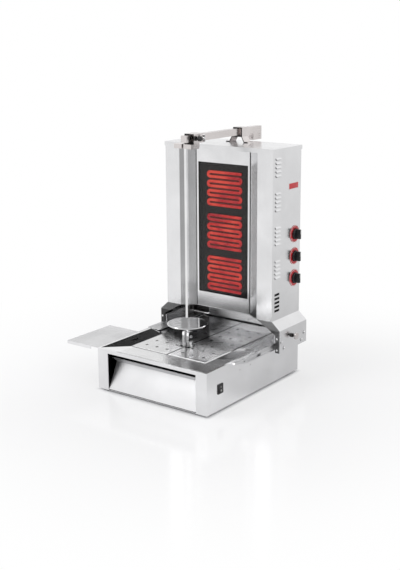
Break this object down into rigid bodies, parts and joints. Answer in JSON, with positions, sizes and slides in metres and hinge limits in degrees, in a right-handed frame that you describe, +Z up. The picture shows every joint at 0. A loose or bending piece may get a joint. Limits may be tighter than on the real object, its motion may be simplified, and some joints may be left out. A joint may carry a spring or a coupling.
{
  "type": "doner kebab grill",
  "caption": "Upright electric kebab grill: a heater tower on slide rails faces a motor-driven vertical skewer above a base with drip trays, a drawer and a side shelf.",
  "frame": {"origin": "centre of the base footprint, on the table", "axes": "+X to the right as seen from the front, +Y to the rear, +Z up"},
  "size_m": [0.711, 0.692, 0.945],
  "materials": {
    "sheet_steel": "bright brushed stainless sheet",
    "bright_steel": "polished stainless",
    "zinc_steel": "zinc plated",
    "foot_rubber": "matt black",
    "motor_paint": "satin grey paint",
    "black_plastic": "satin black",
    "red_dial": "printed red",
    "black_glass": "polished dark ceramic glass",
    "hot_element": "glowing red",
    "white_print": "white print on the dials, knobs and switch",
    "insulation": "sooty mineral board"
  },
  "bodies": {
    "base": {"base_floor": "sheet_steel", "base_front": "sheet_steel", "base_rear": "sheet_steel", "base_side_left": "sheet_steel", "base_side_right": "sheet_steel", "feet": "foot_rubber", "pan_frame": "sheet_steel", "drawer_runners": "sheet_steel", "motor_bracket": "sheet_steel", "gear_motor": "motor_paint", "shaft_bearing": "bright_steel", "switch_housing": "black_plastic", "shelf_hook": "sheet_steel", "rail_left": "zinc_steel", "rail_right": "zinc_steel", "splash_skirt": "sheet_steel", "cable_gland": "black_plastic"},
    "drawer": {"drawer_pan": "sheet_steel", "drawer_front": "sheet_steel"},
    "tray_left": {"tray_left": "sheet_steel"},
    "tray_right": {"tray_right": "sheet_steel"},
    "shelf": {"side_shelf": "sheet_steel"},
    "spindle": {"drive_shaft": "bright_steel", "drive_socket": "bright_steel", "socket_bolt": "zinc_steel", "skewer": "bright_steel", "meat_disc": "bright_steel", "disc_collar": "bright_steel"},
    "rocker": {"switch_rocker": "black_plastic"},
    "tower": {"runner_left": "zinc_steel", "runner_right": "zinc_steel", "bracket_left": "sheet_steel", "bracket_right": "sheet_steel", "bracket_screws_left": "zinc_steel", "bracket_screws_right": "zinc_steel", "tower_floor": "sheet_steel", "tower_side_left": "sheet_steel", "tower_side_right": "sheet_steel", "tower_back": "sheet_steel", "tower_top": "sheet_steel", "column_left": "sheet_steel", "column_right": "sheet_steel", "heater_panel": "sheet_steel", "ceramic_glass": "black_glass", "element_upper": "hot_element", "element_middle": "hot_element", "element_lower": "hot_element", "insulation_board": "insulation", "regulators": "black_plastic", "dial_plates": "red_dial", "arm_support": "sheet_steel"},
    "lock": {"lock_screw": "bright_steel"},
    "knob_upper": {"knob_upper": "black_plastic"},
    "knob_middle": {"knob_middle": "black_plastic"},
    "knob_lower": {"knob_lower": "black_plastic"},
    "arm": {"arm": "sheet_steel"},
    "holder": {"holder_sleeve": "sheet_steel", "bearing_fork": "sheet_steel"},
    "clamp": {"clamp_knob": "black_plastic"},
    "wing": {"wing_screw": "bright_steel"}
  },
  "joints": [
    {"name": "tower_slide", "type": "slide", "parent": "base", "child": "tower", "axis": [0, -1, 0], "range_m": [0, 0.08]},
    {"name": "arm_slide", "type": "slide", "parent": "tower", "child": "arm", "axis": [0, 1, 0], "range_m": [0, 0.08]},
    {"name": "holder_slide", "type": "slide", "parent": "arm", "child": "holder", "axis": [0, 1, 0], "range_m": [0, 0.05]},
    {"name": "skewer_spin", "type": "hinge", "parent": "base", "child": "spindle", "pos_m": [0, -0.079, 0.2], "axis": [0, 0, 1], "continuous": true},
    {"name": "drawer_slide", "type": "slide", "parent": "base", "child": "drawer", "axis": [0, -1, 0], "range_m": [0, 0.3]},
    {"name": "tray_left_lift", "type": "slide", "parent": "base", "child": "tray_left", "axis": [0, 0, 1], "range_m": [0, 0.03]},
    {"name": "tray_right_lift", "type": "slide", "parent": "base", "child": "tray_right", "axis": [0, 0, 1], "range_m": [0, 0.03]},
    {"name": "shelf_lift", "type": "slide", "parent": "base", "child": "shelf", "axis": [0, 0, 1], "range_m": [0, 0.03]},
    {"name": "switch_rock", "type": "hinge", "parent": "base", "child": "rocker", "pos_m": [0.2458, -0.221, 0.085], "axis": [0, 1, 0], "range_deg": [0, 16]},
    {"name": "lock_turn", "type": "hinge", "parent": "tower", "child": "lock", "pos_m": [0.282, 0.2, 0.178], "axis": [1, 0, 0], "continuous": true},
    {"name": "knob_upper_turn", "type": "hinge", "parent": "tower", "child": "knob_upper", "pos_m": [0.247, 0.268, 0.555], "axis": [-1, 0, 0], "range_deg": [0, 270]},
    {"name": "knob_middle_turn", "type": "hinge", "parent": "tower", "child": "knob_middle", "pos_m": [0.247, 0.268, 0.4695], "axis": [-1, 0, 0], "range_deg": [0, 270]},
    {"name": "knob_lower_turn", "type": "hinge", "parent": "tower", "child": "knob_lower", "pos_m": [0.247, 0.268, 0.384], "axis": [-1, 0, 0], "range_deg": [0, 270]},
    {"name": "clamp_turn", "type": "hinge", "parent": "holder", "child": "clamp", "pos_m": [0.03, -0.043, 0.928], "axis": [1, 0, 0], "continuous": true},
    {"name": "wing_turn", "type": "hinge", "parent": "holder", "child": "wing", "pos_m": [0.03, -0.019, 0.928], "axis": [1, 0, 0], "continuous": true}
  ],
  "couplings": [
    {"joint": "arm_slide", "follows": "tower_slide", "ratio": 1}
  ]
}
